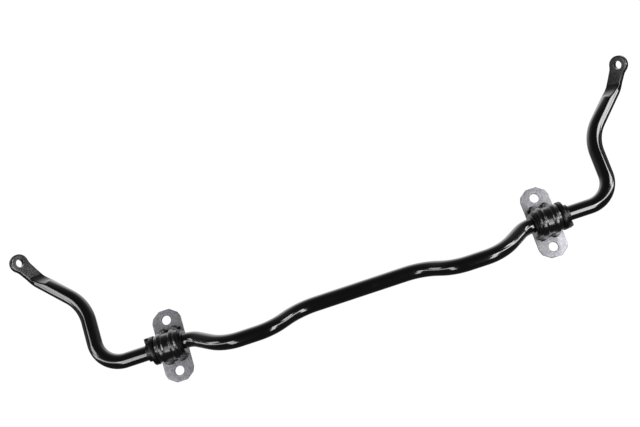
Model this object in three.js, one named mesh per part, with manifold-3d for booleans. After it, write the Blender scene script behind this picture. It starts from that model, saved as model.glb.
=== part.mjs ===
// A sway bar: one round steel bar with forged eyes, carried by two rubber bushings,
// each held in a bracket that is a pressed saddle on a flat base plate.
// Millimetres. +X runs along the bar, +Y from the brackets towards the eyes, +Z is up
// from the mounting plane, which is z = 0. The origin is the middle of the footprint.
import * as THREE from 'three';
import { mergeVertices } from 'three/addons/utils/BufferGeometryUtils.js';
import { ConvexGeometry } from 'three/addons/geometries/ConvexGeometry.js';
import Module from 'manifold-3d';

const wasm = await Module();
wasm.setup();

// ---- driving dimensions -------------------------------------------------------
const barDiameter = 21;
const barSides = 16;
const bendStep = 9;               // degrees of bend between two sections
const axisHeight = 24;            // bushing axis above the mounting plane

const bracketSpacing = 547;       // centre to centre along X
const shoulderLead = 12.5;        // from the bushing's inner end to the bar's first bend inboard
const humpFall = 44;              // X length of the slope between bracket and raised stretch
const humpLength = 67;            // the raised stretch, between its two bends
const humpClimb = 41;             // X length of the slope down to the middle
const humpBack = 25;
const humpRise = 26;
const centreBack = 8.5;           // how far the middle sits behind the bushing axis
const centreDrop = 1;             // and below it
const elbowLead = 98;             // from the bracket's centre to the first arm bend
const kneeOut = 4.5;              // each next bend: how much further out and forward
const kneeForward = 94;
const kneeDrop = 7;
const wristOut = 61;
const wristForward = 60;
const eyeOut = 10.5;
const eyeForward = 23.5;
const eyeHeight = 32.5;           // eye's centre above the mounting plane
const roundEndShort = 8;          // the round bar stops this far before the wrist
const bendRadii = { middle: 70, humpInner: 58, humpOuter: 65, shoulder: 32, elbow: 38, knee: 65 };

const eyeDiameter = 26.5;
const eyeHole = 12.8;
const eyeThickness = 7;
const eyeLean = 52;               // degrees between the eye's axis and upright
const eyeLeanBack = 13;           // degrees that lean points back from the bar's middle
const neckWidth = 20.5;
const neckThickness = 6.6;
const neckLength = 20;            // from the neck's start to the eye's centre
const neckSquareness = 0.35;      // 1 makes the neck's section an oval, 0 a rectangle

const plateWidth = 41.5;
const plateThickness = 3;
const boltLead = 12.5;            // from the saddle's foot to the bolt hole's centre
const boltHole = 13.2;
const boltShift = 2.5;            // bolt holes' midpoint, forward of the bushing axis
const earTip = 14.75;             // hole centre to ear tip
const earTipWidth = 15;
const earFacetWidth = 36;
const earFacetBack = 7;

const gap = 0.3;                  // between pieces that touch
const overlap = 1;                // how far joined solids run into each other
const rubberWall = 5.6;           // round the bar
const bushingInner = 21;          // from the bracket's centre towards the bar's middle
const flangeStart = 17;
const flangeEnd = 23.5;
const flangeDiameter = 40;
const spigotEnd = 30;
const spigotWall = 2.4;
const slitWidth = 0.8;
const lugWidth = 11;
const lugHeight = 17;

const strapWall = 2.3;
const saddleInner = 17;           // saddle's edges, each side of the bracket's centre
const saddleOuter = 16;
const beadSpacing = 17.4;
const beadCrest = 4.6;
const beadHeight = 2;
const footMargin = 5;             // feet beyond the strap, about the bolt holes' midpoint
const footThickness = 2.5;
const gussetMargin = 7;
const gussetWidth = 12.5;
const gussetHeight = 13;

// ---- sizes that follow --------------------------------------------------------
const barRadius = barDiameter / 2;
const boreRadius = barRadius + gap;
const rubberRadius = boreRadius + rubberWall;
const strapInnerRadius = rubberRadius + gap;
const strapOuterRadius = strapInnerRadius + strapWall;
const beadRadius = strapOuterRadius + beadHeight;
const seat = plateThickness + gap;       // underside of what stands on the plate
const footReach = strapOuterRadius + footMargin;
const gussetReach = strapOuterRadius + gussetMargin;
const boltSpacing = 2 * (footReach + boltLead);
const bracketX = bracketSpacing / 2;
const shoulderX = bracketX - bushingInner - shoulderLead;
const humpOuter = shoulderX - humpFall;
const humpInner = humpOuter - humpLength;
const centreHalfLength = humpInner - humpClimb;
const elbowX = bracketX + elbowLead;
const kneeX = elbowX + kneeOut;
const wristX = kneeX + wristOut;
const wristY = kneeForward + wristForward;
const eyeX = wristX + eyeOut;
const eyeY = wristY + eyeForward;
const arcSteps = 22;                     // facets of a half circle
const drillSides = barSides + 8;         // facets of the eye's hole
const beyond = 60;                       // past any piece of a bracket, for cutting right through
const clearOfAll = 3 * eyeThickness;     // length of the drill through an eye
const roundEndShrink = 0.99;             // keeps the taper's root just inside the round bar
const gussetFacets = { around: 14, over: 10 };

// ---- solids -------------------------------------------------------------------
function solid(geometry) {
  const bare = geometry.index ? geometry.toNonIndexed() : geometry.clone();
  bare.deleteAttribute('normal');
  bare.deleteAttribute('uv');
  const merged = mergeVertices(bare, 1e-4);
  const mesh = new wasm.Mesh({
    numProp: 3,
    vertProperties: new Float32Array(merged.attributes.position.array),
    triVerts: new Uint32Array(merged.index.array),
  });
  return new wasm.Manifold(mesh);
}

function toGeometry(body) {
  const mesh = body.getMesh();
  const geometry = new THREE.BufferGeometry();
  geometry.setAttribute('position', new THREE.BufferAttribute(new Float32Array(mesh.vertProperties), 3));
  geometry.setIndex(new THREE.BufferAttribute(new Uint32Array(mesh.triVerts), 1));
  geometry.computeVertexNormals();
  return geometry;
}

function union(bodies) {
  return bodies.reduce((whole, body) => whole.add(body));
}

// A shape drawn in (y, z) and carried along X from one x to another.
function alongX(shape, from, to, bevel = {}) {
  const geometry = new THREE.ExtrudeGeometry(shape, {
    depth: to - from,
    bevelEnabled: false,
    curveSegments: arcSteps / 2,
    ...bevel,
  });
  geometry.applyMatrix4(new THREE.Matrix4().makeBasis(
    new THREE.Vector3(0, 1, 0),
    new THREE.Vector3(0, 0, 1),
    new THREE.Vector3(1, 0, 0),
  ));
  geometry.translate(from, 0, 0);
  return geometry;
}

function box(low, high) {
  const size = high.map((value, axis) => value - low[axis]);
  const geometry = new THREE.BoxGeometry(...size);
  geometry.translate(...low.map((value, axis) => value + size[axis] / 2));
  return geometry;
}

function cylinderX(radius, from, to) {
  const geometry = new THREE.CylinderGeometry(radius, radius, to - from, 2 * arcSteps);
  geometry.rotateZ(Math.PI / 2);
  geometry.translate((from + to) / 2, 0, axisHeight);
  return geometry;
}

// The D outline of bushing and saddle: a half circle over two straight sides.
function arch(radius, bottom) {
  const shape = new THREE.Shape();
  shape.moveTo(radius, bottom);
  shape.lineTo(radius, axisHeight);
  shape.absarc(0, axisHeight, radius, 0, Math.PI, false);
  shape.lineTo(-radius, bottom);
  shape.closePath();
  return shape;
}

// ---- the bar ------------------------------------------------------------------
// Corners of the bar's centreline from its middle to the wrist, on the +X side.
function barCorners() {
  const at = (x, y, rise) => new THREE.Vector3(x, y, axisHeight + rise);
  return [
    { point: at(0, -centreBack, -centreDrop), radius: 0 },
    { point: at(centreHalfLength, -centreBack, -centreDrop), radius: bendRadii.middle },
    { point: at(humpInner, -humpBack, humpRise), radius: bendRadii.humpInner },
    { point: at(humpOuter, -humpBack, humpRise), radius: bendRadii.humpOuter },
    { point: at(shoulderX, 0, 0), radius: bendRadii.shoulder },
    { point: at(elbowX, 0, 0), radius: bendRadii.elbow },
    { point: at(kneeX, kneeForward, -kneeDrop), radius: bendRadii.knee },
    { point: at(wristX, wristY, barRadius - axisHeight), radius: 0 },
  ];
}

// The eye's plane holds the line from the wrist to the eye's centre as nearly as it can.
function eyeFrame(side) {
  const lean = THREE.MathUtils.degToRad(eyeLean);
  const back = THREE.MathUtils.degToRad(eyeLeanBack);
  const normal = new THREE.Vector3(
    -side * Math.sin(lean) * Math.cos(back),
    -Math.sin(lean) * Math.sin(back),
    Math.cos(lean),
  );
  const centre = new THREE.Vector3(side * eyeX, eyeY, eyeHeight);
  const wrist = new THREE.Vector3(side * wristX, wristY, barRadius);
  const along = centre.clone().sub(wrist);
  along.addScaledVector(normal, -along.dot(normal)).normalize();
  const across = new THREE.Vector3().crossVectors(normal, along);
  return { normal, centre, along, across };
}

// Sections of the bar: one at each end of a straight, and one each few degrees of a bend.
function barSections(corners) {
  const sections = [];
  const tangentOf = (a, b) => b.point.clone().sub(a.point).normalize();
  sections.push({ point: corners[0].point, tangent: tangentOf(corners[0], corners[1]) });
  for (let i = 1; i < corners.length - 1; i += 1) {
    const into = tangentOf(corners[i - 1], corners[i]);
    const out = tangentOf(corners[i], corners[i + 1]);
    const turn = into.angleTo(out);
    const radius = corners[i].radius;
    const reach = radius * Math.tan(turn / 2);
    const start = corners[i].point.clone().addScaledVector(into, -reach);
    const inward = out.clone().addScaledVector(into, -out.dot(into)).normalize();
    const steps = Math.ceil(THREE.MathUtils.radToDeg(turn) / bendStep);
    for (let k = 0; k <= steps; k += 1) {
      const angle = (turn * k) / steps;
      const point = start.clone()
        .addScaledVector(into, radius * Math.sin(angle))
        .addScaledVector(inward, radius * (1 - Math.cos(angle)));
      const tangent = into.clone().multiplyScalar(Math.cos(angle)).addScaledVector(inward, Math.sin(angle));
      sections.push({ point, tangent });
    }
  }
  const last = corners.length - 1;
  sections.push({ point: corners[last].point, tangent: tangentOf(corners[last - 1], corners[last]) });
  return sections;
}

// A path whose evenly numbered steps fall on the given sections.
class SectionPath extends THREE.Curve {
  constructor(sections) {
    super();
    this.sections = sections;
  }

  at(u) {
    return this.sections[Math.round(u * (this.sections.length - 1))];
  }

  getPointAt(u, target = new THREE.Vector3()) {
    return target.copy(this.at(u).point);
  }

  getTangentAt(u, target = new THREE.Vector3()) {
    return target.copy(this.at(u).tangent);
  }
}

function mirrorSection(section) {
  const flip = new THREE.Vector3(-1, 1, 1);
  return {
    point: section.point.clone().multiply(flip),
    tangent: section.tangent.clone().multiply(flip).negate(),
  };
}

// A closed ring of points: an oval, or squarer as the exponent falls.
function ring(centre, across, up, halfWidth, halfHeight, exponent) {
  const points = [];
  for (let k = 0; k < barSides; k += 1) {
    const angle = (2 * Math.PI * k) / barSides;
    const x = Math.sign(Math.cos(angle)) * Math.abs(Math.cos(angle)) ** exponent * halfWidth;
    const y = Math.sign(Math.sin(angle)) * Math.abs(Math.sin(angle)) ** exponent * halfHeight;
    points.push(centre.clone().addScaledVector(across, x).addScaledVector(up, y));
  }
  return points;
}

// The flat end: the round bar tapers into a neck that runs into a bored eye.
function eyeEnd(side, barEnd) {
  const { normal, centre, along, across } = eyeFrame(side);
  const halfNeck = neckWidth / 2;
  const halfThick = neckThickness / 2;
  const inBar = barEnd.point.clone().addScaledVector(barEnd.tangent, -side * overlap);
  const neckStart = centre.clone().addScaledVector(along, -neckLength);
  const inTaper = neckStart.clone().addScaledVector(along, -overlap);
  const barUp = new THREE.Vector3().crossVectors(barEnd.tangent, across).normalize();
  const barAcross = new THREE.Vector3().crossVectors(barUp, barEnd.tangent).normalize();
  const roundRadius = barRadius * roundEndShrink;
  const taper = solid(new ConvexGeometry([
    ...ring(inBar, barAcross, barUp, roundRadius, roundRadius, 1),
    ...ring(neckStart, across, normal, halfNeck, halfThick, neckSquareness),
  ]));
  const neck = solid(new ConvexGeometry([
    ...ring(inTaper, across, normal, halfNeck - gap, halfThick, neckSquareness),
    ...ring(centre, across, normal, halfNeck, halfThick, neckSquareness),
  ]));
  const turn = new THREE.Quaternion().setFromUnitVectors(new THREE.Vector3(0, 1, 0), normal);
  const place = (geometry) => geometry.applyQuaternion(turn).translate(...centre.toArray());
  const disc = solid(place(new THREE.CylinderGeometry(
    eyeDiameter / 2, eyeDiameter / 2, eyeThickness, 2 * barSides)));
  const drill = solid(place(new THREE.CylinderGeometry(
    eyeHole / 2, eyeHole / 2, clearOfAll, drillSides)));
  return union([taper, neck, disc]).subtract(drill);
}

function roundBar(sections) {
  const outline = new THREE.Shape();
  outline.absarc(0, 0, barRadius, 0, 2 * Math.PI, false);
  return solid(new THREE.ExtrudeGeometry(outline, {
    steps: sections.length - 1,
    curveSegments: barSides / 2,
    bevelEnabled: false,
    extrudePath: new SectionPath(sections),
  }));
}

function stabilizerBar() {
  const half = barSections(barCorners());
  const wrist = half[half.length - 1];
  wrist.point = wrist.point.clone().addScaledVector(wrist.tangent, -roundEndShort);
  const sections = [...half.slice(1).reverse().map(mirrorSection), ...half.slice(1)];
  const shaft = roundBar(sections);
  const ends = [
    eyeEnd(1, sections[sections.length - 1]),
    eyeEnd(-1, sections[0]),
  ];
  return toGeometry(union([shaft, ...ends]));
}

// ---- the bracket --------------------------------------------------------------
// Bracket pieces are drawn about their own bracket's centre, with +X outboard.

function bushing() {
  const lugBase = axisHeight - lugHeight / 2;
  const body = union([
    solid(alongX(arch(rubberRadius, seat), -bushingInner, flangeEnd)),
    solid(cylinderX(flangeDiameter / 2, flangeStart, flangeEnd)),
    solid(cylinderX(boreRadius + spigotWall, flangeEnd - overlap, spigotEnd)),
    solid(box(
      [flangeEnd - overlap, -rubberRadius - spigotWall, lugBase],
      [spigotEnd, -rubberRadius - spigotWall + lugWidth, lugBase + lugHeight],
    )),
  ]);
  const below = solid(box([-beyond, -beyond, -beyond], [beyond, beyond, seat]));
  const bore = solid(cylinderX(boreRadius, -beyond, beyond));
  const slit = solid(box(
    [-beyond, -beyond, axisHeight - slitWidth / 2],
    [beyond, 0, axisHeight + slitWidth / 2],
  ));
  return toGeometry(body.subtract(below).subtract(bore).subtract(slit));
}

function bead(x) {
  const slope = beadHeight;
  return solid(alongX(arch(beadRadius, seat), x - beadCrest / 2, x + beadCrest / 2, {
    bevelEnabled: true,
    bevelThickness: slope,
    bevelSize: slope,
    bevelOffset: -slope,
    bevelSegments: 1,
  }));
}

function gusset(x, y, reach) {
  const geometry = new THREE.SphereGeometry(1, gussetFacets.around, gussetFacets.over);
  geometry.scale(gussetWidth / 2, reach, gussetHeight);
  geometry.translate(x, y, seat);
  return solid(geometry);
}

function saddle(side) {
  const [from, to] = side > 0 ? [-saddleInner, saddleOuter] : [-saddleOuter, saddleInner];
  const bodies = [solid(alongX(arch(strapOuterRadius, seat), from, to))];
  bodies.push(solid(box(
    [from, boltShift - footReach, seat],
    [to, boltShift + footReach, seat + footThickness],
  )));
  for (const x of [-beadSpacing / 2, beadSpacing / 2]) {
    bodies.push(bead(x));
    for (const end of [-1, 1]) {
      const wall = end * strapInnerRadius;
      const reach = Math.abs(boltShift + end * gussetReach - wall);
      bodies.push(gusset(x, wall, reach));
    }
  }
  const below = solid(box([-beyond, -beyond, -beyond], [beyond, beyond, seat]));
  const hollow = solid(alongX(arch(strapInnerRadius, -beyond), -beyond, beyond));
  return toGeometry(union(bodies).subtract(below).subtract(hollow));
}

// One ear's outline from its right side to its left, for an ear that points along +Y.
function earPoints(holeY) {
  const half = [
    [plateWidth / 2, holeY],
    [earFacetWidth / 2, holeY + earFacetBack],
    [earTipWidth / 2, holeY + earTip],
  ];
  return [...half, ...half.map(([x, y]) => [-x, y]).reverse()];
}

function basePlate() {
  const top = earPoints(boltSpacing / 2);
  const outline = [...top, ...top.map(([x, y]) => [-x, -y])];
  const shape = new THREE.Shape(outline.map(([x, y]) => new THREE.Vector2(x, y)));
  for (const end of [-1, 1]) {
    const hole = new THREE.Path();
    hole.absarc(0, (end * boltSpacing) / 2, boltHole / 2, 0, 2 * Math.PI, true);
    shape.holes.push(hole);
  }
  const geometry = new THREE.ExtrudeGeometry(shape, {
    depth: plateThickness,
    bevelEnabled: false,
    curveSegments: arcSteps / 2,
  });
  return toGeometry(solid(geometry));
}

// ---- assembly -----------------------------------------------------------------
const blackPaint = () => new THREE.MeshStandardMaterial({ color: 0x0c0c0e, roughness: 0.22, metalness: 0.0 });
const greySteel = () => new THREE.MeshStandardMaterial({ color: 0x9a999f, roughness: 0.5, metalness: 0.6 });
const rubber = () => new THREE.MeshStandardMaterial({ color: 0x141418, roughness: 0.7, metalness: 0.0 });

function named(name, geometry, material) {
  const mesh = new THREE.Mesh(geometry, material);
  mesh.name = name;
  return mesh;
}

function bracket(side) {
  const label = side < 0 ? 'left' : 'right';
  const group = new THREE.Group();
  const turned = new THREE.Group();
  turned.rotation.z = side < 0 ? Math.PI : 0;
  turned.add(named(`${label}_bushing`, bushing(), rubber()));
  group.add(turned);
  const strap = named(`${label}_saddle`, saddle(side), blackPaint());
  group.add(strap);
  const plate = named(`${label}_base_plate`, basePlate(), greySteel());
  plate.position.y = boltShift;
  group.add(plate);
  group.position.x = side * bracketX;
  return group;
}

const model = new THREE.Group();
model.add(named('stabilizer_bar', stabilizerBar(), blackPaint()));
model.add(bracket(-1));
model.add(bracket(1));

model.updateMatrixWorld(true);
const footprint = new THREE.Box3().setFromObject(model, true);
model.position.y = -(footprint.min.y + footprint.max.y) / 2;

export default model;
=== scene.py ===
import math

import bmesh
import bpy
from bmesh.types import BMEdge, BMVert
from mathutils import Matrix, Vector


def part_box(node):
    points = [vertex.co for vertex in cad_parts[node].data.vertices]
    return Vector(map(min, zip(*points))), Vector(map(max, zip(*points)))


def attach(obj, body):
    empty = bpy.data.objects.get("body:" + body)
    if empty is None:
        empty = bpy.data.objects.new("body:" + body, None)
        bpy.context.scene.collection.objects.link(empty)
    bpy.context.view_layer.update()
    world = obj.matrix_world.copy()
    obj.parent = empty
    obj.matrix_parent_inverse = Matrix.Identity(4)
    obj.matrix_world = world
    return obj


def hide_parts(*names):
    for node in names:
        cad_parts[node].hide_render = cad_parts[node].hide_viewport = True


bl_info = {
    "name": "Sway bar",
    "version": (1, 0, 0),
    "blender": (4, 5, 0),
    "location": "View3D > Sidebar > Sway bar",
    "description": "Adds a sway bar with its bushings and brackets, and a studio to show it in",
    "category": "Add Mesh",
}

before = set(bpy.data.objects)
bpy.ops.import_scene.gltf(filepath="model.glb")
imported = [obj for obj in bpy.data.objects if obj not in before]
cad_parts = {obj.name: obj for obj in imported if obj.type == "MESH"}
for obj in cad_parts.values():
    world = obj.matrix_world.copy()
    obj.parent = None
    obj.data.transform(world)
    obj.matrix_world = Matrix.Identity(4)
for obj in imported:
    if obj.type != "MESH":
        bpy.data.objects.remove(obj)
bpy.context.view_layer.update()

MM = 0.001
SIDES = {"left": -1, "right": 1}
X, Y, Z = Vector((1, 0, 0)), Vector((0, 1, 0)), Vector((0, 0, 1))

# Where the brackets stand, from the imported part.
PLATE_LOW, PLATE_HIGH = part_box("right_base_plate")
PLATE_CENTRE = (PLATE_LOW + PLATE_HIGH) / 2
BRACKET_X = PLATE_CENTRE.x
BOLT_SHIFT = 2.5 * MM
AXIS_Y = PLATE_CENTRE.y - BOLT_SHIFT
AXIS_Z = 24 * MM
PLATE_TOP = PLATE_HIGH.z


# ---- small maths ---------------------------------------------------------------

def blend(a, b, share):
    return a + (b - a) * share


def ease(low, high, value):
    """0 below low, 1 above high, and a smooth rise between them."""
    share = min(max((value - low) / (high - low), 0), 1)
    return share * share * (3 - 2 * share)


def soft_min(a, b, round_off):
    """The smaller of two, with the corner between them rounded off."""
    overlap = max(round_off - abs(a - b), 0) / round_off
    return min(a, b) - overlap * overlap * round_off / 4


def soft_max(a, b, round_off):
    return -soft_min(-a, -b, round_off)


# ---- settings ------------------------------------------------------------------

def length(name, millimetres, description):
    return bpy.props.FloatProperty(
        name=name, description=description, default=millimetres * MM,
        min=0, subtype="DISTANCE", unit="LENGTH",
    )


def colour(name, value, description):
    return bpy.props.FloatVectorProperty(
        name=name, description=description, default=value,
        min=0, max=1, size=3, subtype="COLOR",
    )


class SwayBarSettings(bpy.types.PropertyGroup):
    bar_radius: length("Bar radius", 10.5, "Half the thickness of the round bar")
    hump_rise: length("Hump rise", 26, "How far the bar rises inboard of each bracket")
    hump_back: length("Hump setback", 25, "How far the raised stretch sits behind the bushings")
    eye_radius: length("Eye radius", 13.2, "Outer radius of the flat eyes")
    eye_hole: length("Eye hole", 5.9, "Radius of the stud hole in each eye")
    eye_half: length("Eye half thickness", 3.6, "Half the thickness of the flattened ends")
    neck_half: length("Neck half width", 10.5, "Half the width of the flattened end below the eye")
    paint: colour("Paint", (0.0009, 0.0009, 0.00105), "Gloss paint of the bar")


class BracketSettings(bpy.types.PropertyGroup):
    strap_radius: length("Strap radius", 19, "Outer radius of the saddle's strap")
    strap_wall: length("Strap wall", 2.25, "Thickness of the pressed sheet")
    bead_height: length("Bead height", 2, "How far the pressed beads stand up")
    bead_spacing: length("Bead spacing", 17.4, "Between the two beads of a saddle")
    bolt_spacing: length("Bolt spacing", 73, "Between the two bolt holes of a base plate")
    bolt_hole: length("Bolt hole", 6.6, "Radius of the bolt holes")
    rubber_radius: length("Rubber radius", 16.4, "Outer radius of the bushing's body")
    flange_radius: length("Flange radius", 19.9, "Radius of the bushing's outboard flange")
    saddle_paint: colour("Saddle paint", (0.0010, 0.0010, 0.0012), "Paint of the pressed saddles")
    steel: colour("Steel", (0.30, 0.293, 0.318), "Bare plate steel")
    rubber: colour("Rubber", (0.0010, 0.0010, 0.0012), "Rubber of the bushings")


class StudioSettings(bpy.types.PropertyGroup):
    floor: colour("Floor", (0.06, 0.06, 0.06), "Colour of the floor")
    key_brightness: bpy.props.FloatProperty(
        name="Softbox brightness", description="How bright the softboxes look, white being 1",
        default=10, min=0, subtype="FACTOR",
    )
    surround: bpy.props.FloatProperty(
        name="Surround", description="Brightness of the pale surround behind the floor",
        default=0.95, min=0, subtype="FACTOR",
    )
    floor_glow: bpy.props.FloatProperty(
        name="Floor glow", description="Light from below the translucent floor",
        default=0.97, min=0, subtype="FACTOR",
    )


# ---- materials -----------------------------------------------------------------

class Amount:
    """A number that varies over a surface. Sums and products of these add Math nodes."""

    def __init__(self, finish, socket):
        self.finish = finish
        self.socket = socket

    def math(self, operation, *values):
        inputs = {i: v for i, v in enumerate(values)}
        return self.finish.amount("ShaderNodeMath", {"operation": operation}, inputs)

    def __add__(self, other):
        return self.math("ADD", self, other)

    __radd__ = __add__

    def __sub__(self, other):
        return self.math("SUBTRACT", self, other)

    def __rsub__(self, other):
        return self.math("SUBTRACT", other, self)

    def __mul__(self, other):
        return self.math("MULTIPLY", self, other)

    __rmul__ = __mul__

    def between(self, low, high):
        """0 where this is below low, 1 where it is above high."""
        return self.finish.amount(
            "ShaderNodeMapRange",
            {"interpolation_type": "SMOOTHSTEP"},
            {"Value": self, "From Min": low, "From Max": high},
        )

    def top(self, other):
        return self.math("MAXIMUM", self, other)

    def magnitude(self):
        return self.math("ABSOLUTE", self)


class NodeWork:
    """Makes and links the nodes of a tree."""

    def __init__(self, tree):
        self.tree = tree

    def connect(self, value, socket):
        if isinstance(value, Amount):
            value = value.socket
        if isinstance(value, bpy.types.NodeSocket):
            self.tree.links.new(value, socket)
        elif socket.type == "RGBA" and len(value) == 3:
            socket.default_value = (*value, 1)
        else:
            socket.default_value = value

    def node(self, kind, settings=None, inputs=None):
        made = self.tree.nodes.new(kind)
        for key, value in (settings or {}).items():
            setattr(made, key, value)
        for key, value in (inputs or {}).items():
            self.connect(value, made.inputs[key])
        return made

    def amount(self, kind, settings=None, inputs=None, output=0):
        return Amount(self, self.node(kind, settings, inputs).outputs[output])


class Surround(NodeWork):
    """The studio round the object: its light by direction, and a plain tone to the camera."""

    def __init__(self, world, tone):
        super().__init__(world.node_tree)
        self.shade = world.node_tree.nodes["Background"]
        self.tone = tone
        way = self.node("ShaderNodeTexCoord").outputs["Generated"]
        axes = self.node("ShaderNodeSeparateXYZ", None, {"Vector": way})
        self.way = [Amount(self, axes.outputs[axis]) for axis in ("Y", "X", "Z")]

    def light(self, strength):
        seen = self.amount("ShaderNodeLightPath", output="Is Camera Ray")
        self.connect((1, 1, 1), self.shade.inputs["Color"])
        self.connect(strength * (1 - seen) + seen * self.tone, self.shade.inputs["Strength"])


class Finish(NodeWork):
    """A material and the nodes that give it its look."""

    def __init__(self, name):
        self.material = bpy.data.materials.new(name)
        self.material.use_nodes = True
        super().__init__(self.material.node_tree)
        self.shader = self.tree.nodes["Principled BSDF"]
        self.place = self.node("ShaderNodeTexCoord").outputs["Object"]

    @property
    def height(self):
        return self.amount("ShaderNodeSeparateXYZ", None, {"Vector": self.place}, "Z")

    def noise(self, size, detail=2.0, roughness=0.5, distortion=0.0):
        """Cloudy variation with features of about that size, in metres."""
        return self.amount("ShaderNodeTexNoise", None, {
            "Vector": self.place, "Scale": 1 / size, "Detail": detail,
            "Roughness": roughness, "Distortion": distortion,
        })

    def cells(self, size):
        """Distance to the nearest of many scattered points about that far apart."""
        return self.amount("ShaderNodeTexVoronoi", None, {
            "Vector": self.place, "Scale": 1 / size,
        })

    def attribute(self, name):
        return self.amount("ShaderNodeAttribute", {"attribute_name": name}, None, "Fac")

    def mix(self, share, first, second):
        made = self.node("ShaderNodeMix", {"data_type": "RGBA"})
        self.connect(share, made.inputs["Factor"])
        self.connect(first, made.inputs[6])
        self.connect(second, made.inputs[7])
        return made.outputs[2]

    def bump(self, height, distance, strength=1.0, under=None):
        inputs = {"Height": height, "Distance": distance, "Strength": strength}
        if under is not None:
            inputs["Normal"] = under
        return self.node("ShaderNodeBump", None, inputs).outputs["Normal"]

    def set(self, **sockets):
        for key, value in sockets.items():
            self.connect(value, self.shader.inputs[key.replace("_", " ")])
        return self.material


def tint(value, factor):
    return tuple(channel * factor for channel in value)


def gloss_paint(name, paint, roughness, peel, coat_roughness):
    """Black paint over steel: orange peel, faint haze and dust, thin at sharp edges."""
    finish = Finish(name)
    haze = finish.noise(60 * MM, 4, 0.6).between(0.42, 0.72)
    smear = finish.noise(14 * MM, 5, 0.65, 0.6).between(0.5, 0.8)
    specks = 1 - finish.cells(2.6 * MM).between(0.05, 0.13)
    sparse = finish.noise(9 * MM, 2).between(0.55, 0.7)
    dust = specks * sparse
    grain = finish.noise(1.2 * MM, 4, 0.7)
    edge = finish.attribute("edge_wear_and_shade")
    thin = (edge * (grain * 0.8 + 0.55)).between(0.45, 0.95)
    shade = finish.mix(haze * 0.6 + smear * 0.25, tint(paint, 0.85), tint(paint, 1.5))
    shade = finish.mix(dust * 0.5, shade, (0.06, 0.058, 0.055))
    shade = finish.mix(thin * 0.5, shade, (0.05, 0.049, 0.05))
    orange_peel = finish.noise(2.4 * MM, 2, 0.5)
    normal = finish.bump(orange_peel, peel)
    normal = finish.bump(dust + grain * 0.08, 0.05 * MM, 0.5, normal)
    return finish.set(
        Base_Color=shade,
        Roughness=haze * 0.05 + smear * 0.06 + dust * 0.25 + thin * 0.2 + roughness,
        Normal=normal,
        Coat_Weight=(1 - dust) * (1 - thin * 0.7) * 0.55,
        Coat_Roughness=coat_roughness,
        Specular_IOR_Level=0.5,
    )


def plate_steel(name, steel, ear_centres):
    """Dull grey plate: fine speckle, soft mottling, washer rings, and painted shade on its rounded
    rims, side walls and hole walls.
    """
    finish = Finish(name)
    speckle = finish.noise(2.8 * MM, 4, 0.75).between(0.43, 0.58)
    mottle = finish.noise(7 * MM, 5, 0.6, 0.4).between(0.32, 0.7)
    cloud = finish.noise(22 * MM, 3, 0.5).between(0.35, 0.7)
    pits = 1 - finish.cells(1.7 * MM).between(0.06, 0.18)
    pitted = pits * finish.noise(5 * MM, 2).between(0.48, 0.62)
    ring = None
    for centre in ear_centres:
        distance = finish.amount(
            "ShaderNodeVectorMath", {"operation": "DISTANCE"},
            {0: finish.place, 1: centre}, "Value",
        )
        inner = distance.between(9.6 * MM, 10.4 * MM)
        outer = 1 - distance.between(10.7 * MM, 12.2 * MM)
        one = inner * outer
        ring = one if ring is None else ring.top(one)
    ring = ring * mottle
    edge = finish.attribute("edge_wear_and_shade").between(0.15, 0.8)
    shade = finish.mix(mottle, tint(steel, 0.72), tint(steel, 0.95))
    shade = finish.mix(cloud * 0.3, shade, tint(steel, 1.35))
    shade = finish.mix(speckle * 0.75, shade, tint(steel, 1.6))
    shade = finish.mix(ring * 0.3, shade, tint(steel, 0.55))
    shade = finish.mix(pitted * 0.6, shade, tint(steel, 0.35))
    # painted shade: the tight rounded rims are darkened
    shade = finish.mix(edge * 0.75, shade, tint(steel, 0.2))
    # painted shade: the side walls and hole walls, everything below the top face, are painted
    # nearly black
    wall_shade = 1 - finish.height.between(PLATE_TOP - 0.45 * MM, PLATE_TOP - 0.02 * MM)
    shade = finish.mix(wall_shade * 0.9, shade, tint(steel, 0.05))
    normal = finish.bump(speckle * 0.6 + mottle * 0.4 - pitted * 0.8, 0.06 * MM, 0.7)
    return finish.set(
        Base_Color=shade,
        Metallic=0.45 - pitted * 0.2,
        Roughness=0.5 - mottle * 0.08 + cloud * 0.06 + ring * 0.05 + pitted * 0.15,
        Normal=normal,
    )


def bushing_rubber(name, rubber):
    """Moulded rubber: matt, faintly dusty, with a fine grain and a few flow marks."""
    finish = Finish(name)
    grain = finish.noise(0.5 * MM, 3, 0.6)
    bloom = finish.noise(11 * MM, 4, 0.6, 0.5).between(0.4, 0.75)
    flow = finish.noise(4 * MM, 3, 0.5, 1.2).between(0.45, 0.65)
    edge = finish.attribute("edge_wear_and_shade").between(0.2, 0.9)
    shade = finish.mix(bloom * 0.7, rubber, tint(rubber, 2.0))
    shade = finish.mix(edge * 0.5, shade, tint(rubber, 2.4))
    normal = finish.bump(grain * 0.7 + flow * 0.3, 0.06 * MM, 0.6)
    return finish.set(
        Base_Color=shade,
        Roughness=0.32 + bloom * 0.14 - flow * 0.06 - edge * 0.05,
        Normal=normal,
        Specular_IOR_Level=0.36,
    )


def lit_floor(name, tone, glow):
    """A pale floor lit from below as well, so that shadows on it stay faint."""
    finish = Finish(name)
    return finish.set(
        Base_Color=tone, Roughness=0.9, Specular_IOR_Level=0.0,
        Emission_Color=(1, 1, 1), Emission_Strength=glow,
    )


# ---- mesh work -----------------------------------------------------------------

RING_SIDES = 64
BEND_STEP = math.radians(2)
MERGE = 0.002 * MM
SHARP = math.radians(38)
WIDE_FACE = 14 * MM               # wear and painted shade stay off faces with a longer outline
EDGE_BEND_FROM, EDGE_BEND_FULL = 350, 1100  # how tightly an edge bends, in radians per metre
EDGE_ANGLES = (math.radians(14), math.radians(40))
BEND_SPAN = (0.15 * MM, 1.5 * MM)    # the bend at an edge is measured over such a length


def edges_of(bm, ring):
    return [bm.edges.get(pair) for pair in zip(ring, ring[1:] + ring[:1])]


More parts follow.
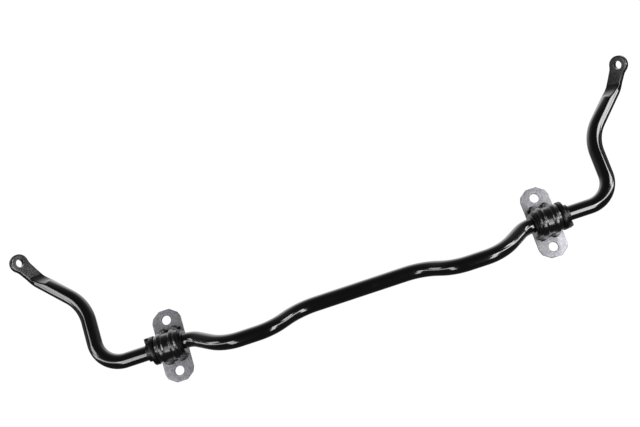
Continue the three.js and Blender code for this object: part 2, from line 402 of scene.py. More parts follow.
def circle(bm, centre, first, second, radius, sides=RING_SIDES):
    """A ring of edges about a centre, in the plane of two directions, in order round it."""
    turn = Matrix((first, second, first.cross(second))).transposed().to_4x4()
    made = bmesh.ops.create_circle(
        bm, segments=sides, radius=radius, matrix=Matrix.Translation(centre) @ turn)
    return made["verts"]


def next_ring(bm, ring):
    """Extrudes a ring and returns the new one, still on top of the old, in the same order."""
    made = bmesh.ops.extrude_edge_only(bm, edges=edges_of(bm, ring))["geom"]
    fresh = {v for v in made if isinstance(v, BMVert)}
    return [
        next(e.other_vert(v) for e in v.link_edges if e.other_vert(v) in fresh)
        for v in ring
    ]


def loft(bm, ring, sections):
    """Carries a ring on through sections, each a function of a vertex's number."""
    for section in sections:
        ring = next_ring(bm, ring)
        for number, vert in enumerate(ring):
            vert.co = section(number)
    return ring


def run_straight(bm, edges, vector):
    """Carries an open outline straight on and returns the edges at its new end."""
    made = bmesh.ops.extrude_edge_only(bm, edges=edges)["geom"]
    fresh = {v for v in made if isinstance(v, BMVert)}
    bmesh.ops.translate(bm, verts=list(fresh), vec=vector)
    return [e for e in made if isinstance(e, BMEdge) and fresh.issuperset(e.verts)]


def run_bend(bm, edges, centre, axis, angle, step=BEND_STEP):
    """Carries an open outline round a bend and returns the edges at its new end."""
    verts = {v for e in edges for v in e.verts}
    made = bmesh.ops.spin(
        bm, geom=[*verts, *edges], cent=centre, axis=axis, angle=angle,
        steps=max(1, math.ceil(angle / step)), dvec=(0, 0, 0),
        use_merge=False, use_normal_flip=False, use_duplicate=False,
    )
    return [e for e in made["geom_last"] if isinstance(e, BMEdge)]


def close_up(bm):
    bmesh.ops.remove_doubles(bm, verts=bm.verts, dist=MERGE)
    bmesh.ops.dissolve_degenerate(bm, edges=bm.edges, dist=MERGE)
    bmesh.ops.recalc_face_normals(bm, faces=bm.faces)


def spindle(centre, axis, profile, sides=48):
    """A closed turned shape: rings of (radius, distance along the axis), ends capped."""
    bm = bmesh.new()
    first = axis.orthogonal().normalized()
    second = axis.cross(first).normalized()
    radius, start = profile[0]
    ring = circle(bm, centre + axis * start, first, second, radius, sides)
    bm.faces.new(ring)
    for reach, distance in profile[1:]:
        following = next_ring(bm, ring)
        middle = centre + axis * distance
        for vert, old in zip(following, ring):
            outward = (old.co - centre) - axis * (old.co - centre).dot(axis)
            vert.co = middle + outward.normalized() * reach
        ring = following
    bm.faces.new(ring)
    close_up(bm)
    return bm


def hole_cutter(centre, axis, radius, half, flare):
    """A drill for a through hole whose two rims are slightly broken."""
    out = half + flare
    return spindle(centre, axis, [
        (radius + 2 * flare, -out), (radius, -half + flare),
        (radius, half - flare), (radius + 2 * flare, out),
    ])


def block(low, high, round_off):
    """A closed block between two corners, with rounded edges."""
    bm = bmesh.new()
    size = high - low
    place = Matrix.Translation((low + high) / 2) @ Matrix.Diagonal((*size, 1))
    bmesh.ops.create_cube(bm, size=1, matrix=place)
    if round_off:
        bmesh.ops.bevel(
            bm, geom=bm.edges[:], offset=round_off, segments=3, profile=0.5,
            affect="EDGES", material=-1, clamp_overlap=True,
        )
    return bm


def mesh_object(name, bm):
    mesh = bpy.data.meshes.new(name)
    bm.to_mesh(mesh)
    bm.free()
    made = bpy.data.objects.new(name, mesh)
    bpy.context.collection.objects.link(made)
    return made


def combine(piece, tool_mesh, operation):
    """Joins or cuts a piece with another closed shape, which is then gone."""
    tool = mesh_object("tool", tool_mesh)
    modifier = piece.modifiers.new("combine", "BOOLEAN")
    modifier.operation = operation
    modifier.solver = "EXACT"
    modifier.object = tool
    graph = bpy.context.evaluated_depsgraph_get()
    result = bpy.data.meshes.new_from_object(piece.evaluated_get(graph))
    piece.modifiers.clear()
    old = piece.data
    piece.data = result
    bpy.data.meshes.remove(old)
    used = tool.data
    bpy.data.objects.remove(tool)
    bpy.data.meshes.remove(used)


# Feeds worn paint on the bar and saddles, lighter rubber edges, and painted shade on the plates'
# rims.
def mark_edge_wear_and_shade(mesh):
    """Keeps how sharply each vertex stands out, from 0 on flat faces to 1 on tight edges."""
    bm = bmesh.new()
    bm.from_mesh(mesh)
    bm.normal_update()
    raw = {}
    for vert in bm.verts:
        bends = [0.0]
        for edge in vert.link_edges:
            if len(edge.link_faces) == 2 and edge.is_convex:
                bends.append(edge.calc_face_angle(0.0))
        spread = sum(e.calc_length() for e in vert.link_edges) / max(len(vert.link_edges), 1)
        bend = max(bends)
        shortest, longest = BEND_SPAN
        sharp = ease(*EDGE_ANGLES, bend)
        tight = ease(EDGE_BEND_FROM, EDGE_BEND_FULL, bend / max(min(spread, longest), shortest))
        raw[vert.index] = max(sharp, tight)
    values = []
    for face in bm.faces:
        small = face.calc_perimeter() < WIDE_FACE
        values += [raw[vert.index] if small else 0.0 for vert in face.verts]
    bm.free()
    layer = mesh.attributes.new("edge_wear_and_shade", "FLOAT", "CORNER")
    layer.data.foreach_set("value", values)


def finish_piece(piece, material, body, node):
    """Tidies a piece's mesh, gives it its finish and hands it to its CAD body."""
    bm = bmesh.new()
    bm.from_mesh(piece.data)
    close_up(bm)
    bm.to_mesh(piece.data)
    bm.free()
    mark_edge_wear_and_shade(piece.data)
    piece.data.shade_smooth()
    piece.data.set_sharp_from_angle(angle=SHARP)
    piece.data.materials.clear()
    piece.data.materials.append(material)
    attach(piece, body)
    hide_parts(node)


# ---- the bar -------------------------------------------------------------------

MIDDLE_HALF = 88 * MM             # the straight middle, each side of the bar's centre
HUMP_INNER = 129 * MM
HUMP_OUTER = 196 * MM
SHOULDER_X = 240 * MM
ELBOW_X = 371.5 * MM
KNEE = (376 * MM, 94 * MM, 7 * MM)
WRIST = (437 * MM, 154 * MM)
EYE_CENTRE = (447.5 * MM, 177.5 * MM, 32.5 * MM)
EYE_LEAN = math.radians(52)
EYE_LEAN_BACK = math.radians(13)
FORGED_FROM = 24 * MM             # the forging begins this far before the wrist
ROUND_END_SHORT = 7 * MM          # and the bend at the wrist begins here
MIDDLE_BACK = 8.5 * MM
MIDDLE_DROP = 1 * MM
BEND_RADII = [radius * MM for radius in (70, 58, 65, 32, 38, 65)]


def on_axis(x, forward, rise):
    """A point by its X, and how far it lies in front of and above the bushings' axis."""
    return Vector((x, AXIS_Y + forward, AXIS_Z + rise))


def bar_corners(settings):
    knee_x, knee_forward, knee_drop = KNEE
    wrist_rise = settings.bar_radius - AXIS_Z
    return [
        on_axis(0, -MIDDLE_BACK, -MIDDLE_DROP),
        on_axis(MIDDLE_HALF, -MIDDLE_BACK, -MIDDLE_DROP),
        on_axis(HUMP_INNER, -settings.hump_back, settings.hump_rise),
        on_axis(HUMP_OUTER, -settings.hump_back, settings.hump_rise),
        on_axis(SHOULDER_X, 0, 0),
        on_axis(ELBOW_X, 0, 0),
        on_axis(knee_x, knee_forward, -knee_drop),
        on_axis(*WRIST, wrist_rise),
    ]


class Paddle:
    """The flattened end: places in it are along the flat, across it and up from its middle."""

    SHOULDER_TOP = -35 * MM
    SHOULDER_UNDER = -28 * MM
    SHOULDER_SKEW = 0.5
    SHOULDER_CLIMB = 1.7
    SHOULDER_ROUND = 7 * MM
    FLAT_ROUND = 2.2 * MM
    SQUEEZE_FROM, SQUEEZE_TO = -32 * MM, -19 * MM
    NECK_START = -26 * MM
    RIM_ROUND = 1.5 * MM
    RIM_MARGIN = 0.4 * MM
    RIM_STEPS = 5
    FILLET = 22 * MM
    BEND_PULL = 1.05

    def __init__(self, settings, corners):
        lean, back = EYE_LEAN, EYE_LEAN_BACK
        self.normal = Vector((
            -math.sin(lean) * math.cos(back),
            -math.sin(lean) * math.sin(back),
            math.cos(lean),
        ))
        self.settings = settings
        eye_x, eye_forward, eye_height = EYE_CENTRE
        self.centre = Vector((eye_x, AXIS_Y + eye_forward, eye_height))
        wrist = corners[-1]
        along = self.centre - wrist
        along -= along.dot(self.normal) * self.normal
        self.along = along.normalized()
        self.across = self.normal.cross(self.along)
        self.bar_way = (wrist - corners[-2]).normalized()
        self.bar_end = wrist - self.bar_way * FORGED_FROM
        self.bend_start = wrist - self.bar_way * ROUND_END_SHORT
        self.bar_up = self.bar_way.cross(self.across).normalized()
        self.bar_across = self.bar_up.cross(self.bar_way).normalized()
        half = settings.neck_half + self.FILLET
        self.fillet_along = -math.sqrt((settings.eye_radius + self.FILLET) ** 2 - half ** 2)
        share = settings.eye_radius / (settings.eye_radius + self.FILLET)
        self.fillet_end = self.fillet_along * share

    def point(self, along, across, up):
        return self.centre + self.along * along + self.across * across + self.normal * up

    def half_width(self, along):
        """Half the flat's width: straight neck, concave fillet, round eye."""
        settings = self.settings
        if along <= self.fillet_along:
            return settings.neck_half
        if along <= self.fillet_end:
            drop = math.sqrt(self.FILLET ** 2 - (along - self.fillet_along) ** 2)
            return settings.neck_half + self.FILLET - drop
        return math.sqrt(max(settings.eye_radius ** 2 - along ** 2, 0))

    def rim(self, number):
        """(inset from the outline, height above the middle, share of the flat) of a vertex."""
        quarter = RING_SIDES // 4
        up = 1 if number <= 2 * quarter else -1
        folded = number if number <= 2 * quarter else RING_SIDES - number
        side = 1 if folded <= quarter else -1
        step = folded if folded <= quarter else 2 * quarter - folded
        half, edge = self.settings.eye_half, self.RIM_ROUND
        if step == 0:
            inset, height = 0.0, 0.0
        elif step < self.RIM_STEPS:
            angle = math.radians(90) * (step - 1) / (self.RIM_STEPS - 2)
            inset = edge * (1 - math.cos(angle))
            height = half - edge + edge * math.sin(angle)
        else:
            inset, height = edge + self.RIM_MARGIN, half
        flat = (quarter - step) / (quarter - self.RIM_STEPS) if step > self.RIM_STEPS else 1.0
        return inset, up * height, side * flat

    def slab(self, along, number):
        """A point of the finished flat, at that place along it."""
        inset, height, share = self.rim(number)
        return self.point(along, share * (self.half_width(along) - inset), height)

    def tip(self, turn, number):
        """The rounded end: the rim turns about the eye's centre and the flat closes in."""
        inset, height, share = self.rim(number)
        reach = self.settings.eye_radius - inset
        across = share * reach * math.cos(turn)
        return self.point(reach * math.sin(turn), across, height)

    def pressed(self, place):
        """A point of the round bar after the flat is forged into it."""
        offset = place - self.centre
        along, across, up = (offset.dot(way) for way in (self.along, self.across, self.normal))
        half = self.settings.eye_half
        shoulder = self.SHOULDER_TOP - self.SHOULDER_SKEW * across
        climb = self.SHOULDER_CLIMB * soft_max(shoulder - along, 0, self.SHOULDER_ROUND)
        fall = soft_max(self.SHOULDER_UNDER - along, 0, self.SHOULDER_ROUND)
        up = soft_min(up, half + climb, self.FLAT_ROUND)
        up = soft_max(up, -half - fall, self.FLAT_ROUND)
        squeeze = self.half_width(along) / self.settings.bar_radius
        across *= blend(1, squeeze, ease(self.SQUEEZE_FROM, self.SQUEEZE_TO, along))
        return self.point(along, across, up)

    def wrist_sections(self, angles):
        """From the round bar's end, through the bend, to the start of the neck."""
        radius = self.settings.bar_radius
        straight_steps = 14
        for number in range(1, straight_steps + 1):
            place = self.bar_end.lerp(self.bend_start, number / straight_steps)

            def section(index, place=place):
                angle = angles[index]
                reach = self.bar_across * math.cos(angle) + self.bar_up * math.sin(angle)
                return self.pressed(place + reach * radius)

            yield section
        start, stop = self.bend_start, self.point(self.NECK_START, 0, 0)
        pull = (stop - start).length * self.BEND_PULL
        steps = 22
        for number in range(1, steps + 1):
            t = number / steps
            place = (
                start * (2 * t ** 3 - 3 * t ** 2 + 1)
                + self.bar_way * pull * (t ** 3 - 2 * t ** 2 + t)
                + stop * (3 * t ** 2 - 2 * t ** 3)
                + self.along * pull * (t ** 3 - t ** 2)
            )
            way = (
                (start - stop) * (6 * t ** 2 - 6 * t)
                + self.bar_way * pull * (3 * t ** 2 - 4 * t + 1)
                + self.along * pull * (3 * t ** 2 - 2 * t)
            ).normalized()
            across = blend(self.bar_across, self.across, ease(0, 1, t))
            across = (across - way * across.dot(way)).normalized()
            up = way.cross(across)

            def section(index, place=place, across=across, up=up):
                angle = angles[index]
                reach = across * math.cos(angle) + up * math.sin(angle)
                return self.pressed(place + reach * radius)

            yield section

    def neck_sections(self, angles):
        """The flat itself, from the neck to the eye's centre line."""
        radius = self.settings.bar_radius
        steps = 22
        for number in range(1, steps + 1):
            along = self.NECK_START * (1 - number / steps)
            share = ease(self.NECK_START, self.NECK_START * 0.6, along)

            def section(index, along=along, share=share):
                angle = angles[index]
                rough = self.pressed(
                    self.point(along, radius * math.cos(angle), radius * math.sin(angle)))
                return blend(rough, self.slab(along, index), share)

            yield section

    def tip_sections(self):
        steps = 14
        for number in range(1, steps + 1):
            turn = math.radians(90) * number / steps
            yield lambda index, turn=turn: self.tip(turn, index)


def half_bar(bm, settings):
    """One half of the bar, from the eye's tip back to the middle."""
    corners = bar_corners(settings)
    paddle = Paddle(settings, corners)
    start = circle(bm, paddle.bar_end, paddle.bar_across, paddle.bar_up, settings.bar_radius)
    angle_of = {
        vert: math.atan2(
            (vert.co - paddle.bar_end).dot(paddle.bar_up),
            (vert.co - paddle.bar_end).dot(paddle.bar_across),
        ) % (2 * math.pi)
        for vert in start
    }
    tiny = 1e-4
    start = sorted(start, key=lambda vert: (angle_of[vert] + tiny) % (2 * math.pi))
    angles = [angle_of[vert] for vert in start]
    ring = loft(bm, start, paddle.wrist_sections(angles))
    ring = loft(bm, ring, paddle.neck_sections(angles))
    loft(bm, ring, paddle.tip_sections())

    edges = edges_of(bm, start)
    here = paddle.bar_end
    for number in range(len(corners) - 2, 0, -1):
        corner = corners[number]
        way = (corner - corners[number + 1]).normalized()
        out = (corners[number - 1] - corner).normalized()
        turn = way.angle(out)
        radius = BEND_RADII[number - 1]
        reach = radius * math.tan(turn / 2)
        bend_start = corner - way * reach
        edges = run_straight(bm, edges, bend_start - here)
        inward = (out - way * out.dot(way)).normalized()
        edges = run_bend(bm, edges, bend_start + inward * radius, way.cross(out), turn)
        here = corner + out * reach
    run_straight(bm, edges, corners[0] - here)
    return paddle


class SWAY_OT_add_bar(bpy.types.Operator):
    """Add the round bar with its bends and its two flat, bored ends"""

    bl_idname = "mesh.sway_add_bar"
    bl_label = "Bar"

    def execute(self, context):
        settings = context.scene.sway_bar
        bm = bmesh.new()
        paddle = half_bar(bm, settings)
        close_up(bm)
        bmesh.ops.mirror(bm, geom=[*bm.verts, *bm.edges, *bm.faces],
                         matrix=Matrix.Identity(4), merge_dist=MERGE, axis="X")
        close_up(bm)
        piece = mesh_object("bar_with_eyes", bm)
        for side in SIDES.values():
            flip = Vector((side, 1, 1))
            drill = hole_cutter(
                paddle.centre * flip, paddle.normal * flip,
                settings.eye_hole, settings.eye_half, 0.25 * MM)
            combine(piece, drill, "DIFFERENCE")
        paint = gloss_paint("gloss_bar_paint", settings.paint, 0.13, 0.01 * MM, 0.07)
        finish_piece(piece, paint, "bar", "stabilizer_bar")
        return {"FINISHED"}


# ---- the saddles ---------------------------------------------------------------

SADDLE_INNER = 17 * MM            # the strap's edges, inboard and outboard of the centre
SADDLE_OUTER = 16 * MM
WALL_Y = 16.7 * MM                # inside face of the strap's legs
LEG_TOP = 15 * MM                 # above the plate, where the gussets have died out
GUSSET_HALF = 6.25 * MM
GUSSET_HEIGHT = 13 * MM
LIP = 1.1 * MM                    # the foot stands out round each gusset
GUSSET_REACH = {1: 28.4 * MM, -1: 23.5 * MM}    # from the bushing axis, forward and back
FOOT_REACH = {1: 24.4 * MM, -1: 19.9 * MM}
BEAD_TOP, BEAD_FOOT = 1.9 * MM, 4.7 * MM        # half widths of a bead
EDGE_DROP, EDGE_LENGTH = 0.5 * MM, 2.2 * MM     # the strap's edges turn in a little
FOOT_BEND = 3 * MM
GUSSET_BLEND = 1.2 * MM


class Saddle:
    """The pressed strap of one bracket. Places are about the bracket's centre, outboard +X."""

    def __init__(self, settings, side):
        self.settings = settings
        self.side = side
        self.middle_x = side * BRACKET_X
        self.base = PLATE_TOP + 0.05 * MM
        steps = 48
        low, high = -SADDLE_INNER, SADDLE_OUTER
        self.stations = [blend(low, high, i / steps) for i in range(steps + 1)]
        self.beads = [end * settings.bead_spacing / 2 for end in (-1, 1)]

    def radius(self, x):
        """The strap's outer radius at a place along it, beads included."""
        rise = 0
        for bead in self.beads:
            rise = max(rise, 1 - ease(BEAD_TOP, BEAD_FOOT, abs(x - bead)))
        lead_in = EDGE_DROP * (ease(SADDLE_OUTER - EDGE_LENGTH, SADDLE_OUTER, x)
                               + ease(SADDLE_INNER - EDGE_LENGTH, SADDLE_INNER, -x))
        return self.settings.strap_radius + self.settings.bead_height * rise - lead_in

    def place(self, x, forward, rise):
        return Vector((self.middle_x + self.side * x, AXIS_Y + forward, rise))

    def foot(self, x, end):
        """(gusset's reach, foot's reach, gusset's share) past the leg's inside face, at x."""
        full = GUSSET_REACH[end] - WALL_Y - LIP
        plain = FOOT_REACH[end] - WALL_Y - LIP
        nearest = min(abs(x - bead) for bead in self.beads) / GUSSET_HALF
        swell = math.sqrt(max(1 - nearest ** 2, 0))
        return full * swell, max(plain, full * swell) + LIP, swell

    def ray(self, x, end, angle):
        """How far the pressed surface is from the inside corner of leg and plate."""
        wall = self.radius(x) - WALL_Y
        floor = self.settings.strap_wall
        sheet = soft_max(wall / math.cos(angle), floor / math.sin(angle), FOOT_BEND)
        reach, _, swell = self.foot(x, end)
        if swell < 0.05:
            return sheet
        dome = 1 / math.hypot(math.cos(angle) / reach,
                              math.sin(angle) / (GUSSET_HEIGHT * swell + floor))
        return soft_max(sheet, dome, GUSSET_BLEND)


def build_saddle(settings, side):
    saddle = Saddle(settings, side)
    bm = bmesh.new()
    crest = [bm.verts.new(saddle.place(x, saddle.radius(x), AXIS_Z)) for x in saddle.stations]
    edges = [bm.edges.new(pair) for pair in zip(crest, crest[1:])]
    axis_centre = saddle.place(0, 0, AXIS_Z)
    last = run_bend(bm, edges, axis_centre, X, math.pi, math.radians(4))
    far = sorted({v for e in last for v in e.verts}, key=lambda v: side * v.co.x)
    for end, line in ((1, crest), (-1, far)):
        add_leg(bm, saddle, end, line)
    return bm


def add_leg(bm, saddle, end, line):
    """Runs one leg down to the plate and out into its foot."""
    wall_top = saddle.base + LEG_TOP
    leg_steps = 3
    for step in range(1, leg_steps + 1):
        height = blend(AXIS_Z, wall_top, step / leg_steps)
        line = next_line(bm, line)
        for vert, x in zip(line, saddle.stations):
            vert.co = saddle.place(x, end * saddle.radius(x), height)
    steps = 22
    for step in range(1, steps + 1):
        line = next_line(bm, line)
        for vert, x in zip(line, saddle.stations):
            top = math.atan2(LEG_TOP, saddle.radius(x) - WALL_Y)
            _, foot_reach, _ = saddle.foot(x, end)
            low = math.atan2(saddle.settings.strap_wall, foot_reach)
            angle = blend(top, low, step / steps)
            reach = saddle.ray(x, end, angle)
            out = min(reach * math.cos(angle), foot_reach)
            rise = reach * math.sin(angle)
            if step == steps:
                out, rise = foot_reach, saddle.settings.strap_wall
            vert.co = saddle.place(x, end * (WALL_Y + out), saddle.base + rise)


def next_line(bm, line):
    """Extrudes an open line of edges and returns the new one in the same order."""
    edges = [bm.edges.get(pair) for pair in zip(line, line[1:])]
    made = bmesh.ops.extrude_edge_only(bm, edges=edges)["geom"]
    fresh = {v for v in made if isinstance(v, BMVert)}
    return [
        next(e.other_vert(v) for e in v.link_edges if e.other_vert(v) in fresh)
        for v in line
    ]


class SWAY_OT_add_saddles(bpy.types.Operator):
    """Add the two pressed saddles with their beads, gussets and feet"""

    bl_idname = "mesh.sway_add_saddles"
    bl_label = "Saddles"

    def execute(self, context):
        settings = context.scene.sway_bracket
        paint = gloss_paint("pressed_saddle_paint", settings.saddle_paint, 0.2, 0.004 * MM, 0.19)
        for name, side in SIDES.items():
            bm = build_saddle(settings, side)
            bmesh.ops.remove_doubles(bm, verts=bm.verts, dist=MERGE)
            bmesh.ops.recalc_face_normals(bm, faces=bm.faces)
            outer = bm.faces[:]
            highest = max(outer, key=lambda face: face.calc_center_median().z)
            if highest.normal.z < 0:
                bmesh.ops.reverse_faces(bm, faces=outer)
            bmesh.ops.solidify(bm, geom=outer, thickness=settings.strap_wall)
            piece = mesh_object(f"{name}_pressed_saddle", bm)
            finish_piece(piece, paint, f"{name}_mount", f"{name}_saddle")
        return {"FINISHED"}


# ---- the bushings --------------------------------------------------------------

BORE = 10.8 * MM
BUSHING_SIDES = 96
BODY_BOTTOM = 20.6 * MM           # below the bore's axis
INBOARD_END = 21 * MM
FLANGE_FROM, FLANGE_TO = 17.2 * MM, 23.5 * MM
SPIGOT_RADIUS = 13.2 * MM
SPIGOT_END = 30 * MM
CORNER_POWER = 14                 # how tight the body's two lower corners are


def body_outline(settings, angle):
    """The D outline's distance from the axis: round above, square below."""
    if math.sin(angle) >= 0:
        return settings.rubber_radius
    side = abs(math.cos(angle)) / settings.rubber_radius
    under = abs(math.sin(angle)) / BODY_BOTTOM
    return (side ** CORNER_POWER + under ** CORNER_POWER) ** (-1 / CORNER_POWER)


def build_bushing(settings, side):
    """A bushing about its bracket's centre. The left one is the right one turned half round."""
    bm = bmesh.new()
    middle = on_axis(side * BRACKET_X, 0, 0)

    def section(x, reach):
        def place(number):
            angle = 2 * math.pi * number / BUSHING_SIDES
            out = reach(angle)
            return middle + Vector((
                side * x, side * out * math.cos(angle), out * math.sin(angle)))
        return place

    def flat(radius):
        return lambda angle: radius

    def body(inset):
        return lambda angle: body_outline(settings, angle) - inset

    def flange(inset):
        return lambda angle: soft_max(
            body_outline(settings, angle), settings.flange_radius, 1 * MM) - inset

    end = INBOARD_END
    profile = [
        (-end + 0.5 * MM, flat(BORE)), (-end + 0.15 * MM, flat(BORE + 0.15 * MM)),
        (-end, flat(BORE + 0.5 * MM)), (-end, flat(BORE + 1.4 * MM)),
        (-end, body(2.0 * MM)), (-end, body(1.0 * MM)),
        (-end + 0.1 * MM, body(0.5 * MM)), (-end + 0.35 * MM, body(0.15 * MM)),
        (-end + 0.9 * MM, body(0)), (0, body(0)), (FLANGE_FROM - 1.0 * MM, body(0)),
        (FLANGE_FROM - 0.1 * MM, flange(2.2 * MM)), (FLANGE_FROM, flange(1.0 * MM)),
        (FLANGE_FROM + 0.3 * MM, flange(0.3 * MM)), (FLANGE_FROM + 1.0 * MM, flange(0)),
        (FLANGE_TO - 1.2 * MM, flange(0)), (FLANGE_TO - 0.35 * MM, flange(0.3 * MM)),
        (FLANGE_TO, flange(1.1 * MM)), (FLANGE_TO, flange(3.0 * MM)),
        (FLANGE_TO, flat(SPIGOT_RADIUS + 1.4 * MM)),
        (FLANGE_TO + 0.2 * MM, flat(SPIGOT_RADIUS + 0.6 * MM)),
        (FLANGE_TO + 0.7 * MM, flat(SPIGOT_RADIUS + 0.15 * MM)),
        (FLANGE_TO + 1.4 * MM, flat(SPIGOT_RADIUS)),
        (SPIGOT_END - 1.0 * MM, flat(SPIGOT_RADIUS)),
        (SPIGOT_END - 0.3 * MM, flat(SPIGOT_RADIUS - 0.2 * MM)),
        (SPIGOT_END, flat(SPIGOT_RADIUS - 0.8 * MM)),
        (SPIGOT_END, flat(BORE + 0.7 * MM)), (SPIGOT_END - 0.2 * MM, flat(BORE + 0.2 * MM)),
        (SPIGOT_END - 0.7 * MM, flat(BORE)),
    ]
    first = section(*profile[0])
    start = circle(bm, middle, Y, Z, BORE, BUSHING_SIDES)
    for number, vert in enumerate(start):
        vert.co = first(number)
    stop = loft(bm, start, [section(*row) for row in profile[1:]])
    bmesh.ops.bridge_loops(bm, edges=[*edges_of(bm, stop), *edges_of(bm, start)])
    close_up(bm)
    return bm, middle


class SWAY_OT_add_bushings(bpy.types.Operator):
    """Add the two rubber bushings with their flange, spigot, lug and slit"""

    bl_idname = "mesh.sway_add_bushings"
    bl_label = "Bushings"

    def execute(self, context):
        settings = context.scene.sway_bracket
        rubber = bushing_rubber("moulded_rubber", settings.rubber)
        lug_low = Vector((FLANGE_TO - 1 * MM, -18.7 * MM, -8.4 * MM))
        lug_high = Vector((SPIGOT_END - 0.1 * MM, -11.4 * MM, 8.4 * MM))
        slit_low = Vector((-40 * MM, -40 * MM, -0.35 * MM))
        slit_high = Vector((40 * MM, -5 * MM, 0.35 * MM))
        for name, side in SIDES.items():
            bm, middle = build_bushing(settings, side)
            piece = mesh_object(f"{name}_rubber_bushing", bm)
            turn = Matrix.Diagonal((side, side, 1, 1))
            for low, high, rounding, how in (
                (lug_low, lug_high, 1.3 * MM, "UNION"),
                (slit_low, slit_high, 0, "DIFFERENCE"),
            ):
                tool = block(low, high, rounding)
                tool.transform(Matrix.Translation(middle) @ turn)
                combine(piece, tool, how)
            finish_piece(piece, rubber, f"{name}_mount", f"{name}_bushing")
        return {"FINISHED"}


# ---- the base plates -----------------------------------------------------------

EAR_OUTLINE = [                   # (half width, distance past the bolt hole's centre)
    (20.75 * MM, 0.0), (18 * MM, 7 * MM), (7.5 * MM, 14.75 * MM),
]
# Painted light and shade: the left plate's steel is painted darker and the right one's lighter, as
# the light on the left is weaker.
PAINTED_PLATE_LIGHT = {"left": 0.66, "right": 1.04}


def build_plate(settings, side):
    hole = settings.bolt_spacing / 2
    ear = [(width, hole + past) for width, past in EAR_OUTLINE]
    top = ear + [(-width, past) for width, past in reversed(ear)]
    outline = top + [(-width, -past) for width, past in top]
    bm = bmesh.new()
    middle = Vector((side * BRACKET_X, PLATE_CENTRE.y, 0))
    verts = [bm.verts.new(middle + Vector((width, past, 0))) for width, past in outline]
    face = bmesh.ops.contextual_create(bm, geom=verts)["faces"][0]
    made = bmesh.ops.extrude_face_region(bm, geom=[face])["geom"]
    lifted = [v for v in made if isinstance(v, BMVert)]
    bmesh.ops.translate(bm, verts=lifted, vec=Z * PLATE_TOP)
    upright = [e for e in bm.edges if abs(e.verts[0].co.z - e.verts[1].co.z) > PLATE_TOP / 2]
    bmesh.ops.bevel(bm, geom=upright, offset=0.7 * MM, segments=2, profile=0.5,
                    affect="EDGES", material=-1)
    bmesh.ops.recalc_face_normals(bm, faces=bm.faces)
    rims = [e for e in bm.edges if abs(e.verts[0].co.z - e.verts[1].co.z) < MERGE]
    bmesh.ops.bevel(bm, geom=rims, offset=0.7 * MM, segments=3, profile=0.5,
                    affect="EDGES", material=-1)
    return bm, middle


class SWAY_OT_add_base_plates(bpy.types.Operator):
    """Add the two flat base plates with their faceted ears and bolt holes"""

    bl_idname = "mesh.sway_add_base_plates"
    bl_label = "Base plates"

    def execute(self, context):
        settings = context.scene.sway_bracket
        reach = Y * settings.bolt_spacing / 2
        for name, side in SIDES.items():
            bm, middle = build_plate(settings, side)
            piece = mesh_object(f"{name}_steel_base_plate", bm)
            level = middle + Z * PLATE_TOP / 2
            holes = [level - reach, level + reach]
            for hole in holes:
                drill = hole_cutter(hole, Z, settings.bolt_hole, PLATE_TOP / 2, 0.4 * MM)
                combine(piece, drill, "DIFFERENCE")
            # painted light and shade: the steel tone is darkened for the left plate and lightened
            # for the right one
            tone = tint(settings.steel, PAINTED_PLATE_LIGHT[name])
            steel = plate_steel(f"{name}_plate_steel", tone, holes)
            finish_piece(piece, steel, f"{name}_mount", f"{name}_base_plate")
        return {"FINISHED"}


# ---- the studio ----------------------------------------------------------------

FLOOR_HALF = 6                    # metres, each way from the middle
FLOOR_DROP = 90 * MM              # clear of the arms at the bottom of their swing
CAMERA_AT = Vector((0, -0.2328, 1.116))
CAMERA_RIGHT = Vector((0.94915, -0.30547, -0.07616))
CAMERA_UP = Vector((0.31482, 0.92096, 0.22960))
CAMERA_LENS = 45
CAMERA_SHIFT = (-0.02125, -0.0070)


# (name, place, aim, way to the upper edge, size, brightness on each side), on the +X side
SOFTBOXES = (
    ("front_softbox", (0.84, -0.80, 1.36), (0.33, -0.08, 0.03), (0, 1, 0), (0.38, 1.25),
     {"left": 0.66, "right": 0.95}),
    ("corner_softbox", (1.15, -0.27, 0.63), (0.22, -0.08, 0.04), (-0.24, -0.18, 0.95), (0.2, 1.34),
     {"left": 0.55, "right": 0.95}),
    ("end_softbox", (1.14, 0.09, 0.67), (0.39, 0.0, 0.03), (-0.70, 0.51, 0.50), (0.25, 0.62),
     {"left": 0.6, "right": 1.0}),
)


# How brightly the surround glows in each part, white being 1.
GLOW = {"below": 1.5, "behind": 0.24, "under": 0.9, "ends": 0.15, "all_round": 0.075}


def place_facing(thing, at, right, up):
    turn = Matrix((right, up, right.cross(up))).transposed().to_4x4()
    thing.matrix_world = Matrix.Translation(at) @ turn


def softbox(name, at, aim, upper, size, power):
    """A soft light at a place, turned to its aim, with its upper edge towards a direction."""
    lamp = bpy.data.lights.new(name, "AREA")
    lamp.shape = "RECTANGLE"
    lamp.size, lamp.size_y = size
    lamp.energy = power
    made = bpy.data.objects.new(name, lamp)
    bpy.context.collection.objects.link(made)
    back = (at - aim).normalized()
    up = (upper - back * upper.dot(back)).normalized()
    place_facing(made, at, up.cross(back), up)
    made.visible_camera = False
    return made


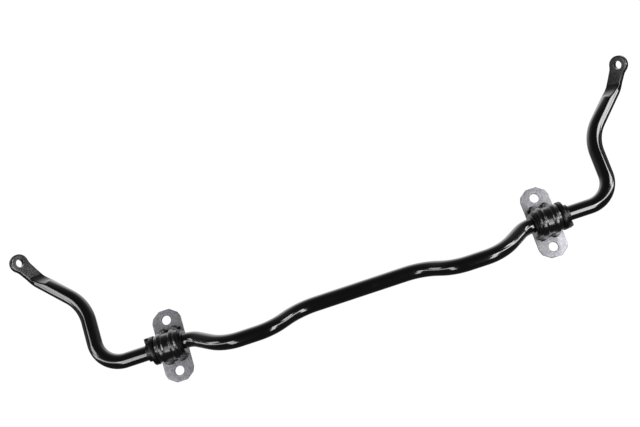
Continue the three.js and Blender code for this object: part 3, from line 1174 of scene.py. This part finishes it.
class SWAY_OT_add_stage(bpy.types.Operator):
    """Add the floor, the soft studio lights, the pale surround and the camera"""

    bl_idname = "mesh.sway_add_stage"
    bl_label = "Studio"

    def execute(self, context):
        settings = context.scene.sway_studio
        bm = bmesh.new()
        bmesh.ops.create_grid(bm, x_segments=2, y_segments=2, size=FLOOR_HALF)
        bmesh.ops.translate(bm, verts=bm.verts, vec=-Z * FLOOR_DROP)
        floor = mesh_object("studio_floor", bm)
        floor.data.materials.append(lit_floor("pale_floor", settings.floor, settings.floor_glow))
        floor.visible_glossy = False
        for name, at, aim, upper, size, brightness in SOFTBOXES:
            for end, side in SIDES.items():
                flip = Vector((side, 1, 1))
                watts = settings.key_brightness * brightness[end] * math.pi * size[0] * size[1]
                softbox(f"{end}_{name}", Vector(at) * flip, Vector(aim) * flip,
                        Vector(upper) * flip, size, watts)
        self.surround(context.scene, settings)
        lens = bpy.data.cameras.new("studio_camera")
        lens.lens = CAMERA_LENS
        lens.shift_x, lens.shift_y = CAMERA_SHIFT
        camera = bpy.data.objects.new("studio_camera", lens)
        context.collection.objects.link(camera)
        place_facing(camera, CAMERA_AT, CAMERA_RIGHT, CAMERA_UP)
        context.scene.camera = camera
        context.scene.view_settings.view_transform = "Standard"
        return {"FINISHED"}

    def surround(self, scene, settings):
        """Brighter behind the bar and low down than in front and overhead."""
        world = bpy.data.worlds.new("studio_surround")
        world.use_nodes = True
        sky = Surround(world, settings.surround)
        forward, side, height = sky.way
        low = 1 - height.between(-0.45, 0.05)
        below = forward.between(0.15, 0.95) * low * GLOW["below"]
        behind = forward.between(-0.1, 0.7) * (1 - height.between(-0.1, 0.7)) * GLOW["behind"]
        under = (1 - height.between(-0.99, -0.8)) * GLOW["under"]
        ends = side.magnitude().between(0.86, 0.99) * (1 - height.magnitude().between(0.05, 0.3))
        sky.light(below + behind + under + ends * GLOW["ends"] + GLOW["all_round"])
        scene.world = world


class SWAY_PT_panel(bpy.types.Panel):
    bl_idname = "SWAY_PT_panel"
    bl_label = "Sway bar"
    bl_space_type = "VIEW_3D"
    bl_region_type = "UI"
    bl_category = "Sway bar"

    def draw(self, context):
        scene = context.scene
        for group in (scene.sway_bar, scene.sway_bracket, scene.sway_studio):
            column = self.layout.column(align=True)
            for key in group.bl_rna.properties.keys():
                if key not in ("rna_type", "name"):
                    column.prop(group, key)
        for step in STEPS:
            self.layout.operator(step.bl_idname)


STEPS = (
    SWAY_OT_add_bar,
    SWAY_OT_add_saddles,
    SWAY_OT_add_bushings,
    SWAY_OT_add_base_plates,
    SWAY_OT_add_stage,
)
CLASSES = (SwayBarSettings, BracketSettings, StudioSettings, *STEPS, SWAY_PT_panel)


def register():
    for entry in CLASSES:
        bpy.utils.register_class(entry)
    bpy.types.Scene.sway_bar = bpy.props.PointerProperty(type=SwayBarSettings)
    bpy.types.Scene.sway_bracket = bpy.props.PointerProperty(type=BracketSettings)
    bpy.types.Scene.sway_studio = bpy.props.PointerProperty(type=StudioSettings)


def unregister():
    del bpy.types.Scene.sway_studio
    del bpy.types.Scene.sway_bracket
    del bpy.types.Scene.sway_bar
    for entry in reversed(CLASSES):
        bpy.utils.unregister_class(entry)


def main():
    register()
    bpy.ops.mesh.sway_add_bar()
    bpy.ops.mesh.sway_add_saddles()
    bpy.ops.mesh.sway_add_bushings()
    bpy.ops.mesh.sway_add_base_plates()
    bpy.ops.mesh.sway_add_stage()


if __name__ == "__main__":
    main()
